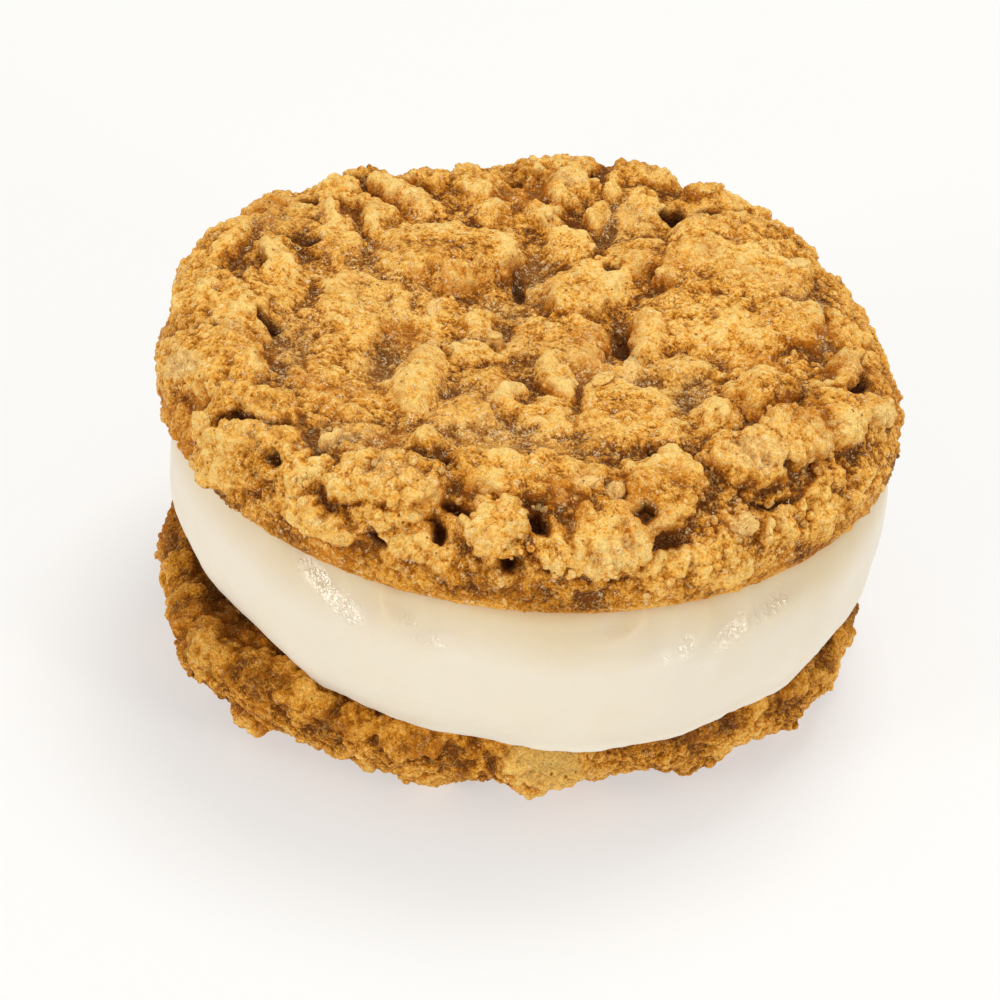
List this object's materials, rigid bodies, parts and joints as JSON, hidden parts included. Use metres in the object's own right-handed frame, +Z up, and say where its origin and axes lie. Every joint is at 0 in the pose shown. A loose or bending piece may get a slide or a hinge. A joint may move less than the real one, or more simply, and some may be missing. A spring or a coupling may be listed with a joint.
{
  "type": "oatmeal cream pie",
  "caption": "Sandwich of craggy oatmeal cookies around a thick, smooth band of cream, lying flat on its lower cookie.",
  "frame": {"origin": "middle of the outline, in the plane that the pie rests on", "axes": "+Z up through the layers; -Y towards the side the picture is taken from; +X to the right in the picture"},
  "size_m": [0.083, 0.0856, 0.0458],
  "materials": {
    "top_cookie": "browned oat crust, dry and sandy, with pale oat flakes and darker sunken patches",
    "cream": "smooth moist cream, soft gloss, slightly translucent",
    "bottom_cookie": "browned oat crust, dry and sandy, a little darker than the upper one"
  },
  "bodies": {
    "root": {"top_cookie": "top_cookie", "cream_filling": "cream", "bottom_cookie": "bottom_cookie"}
  },
  "joints": []
}
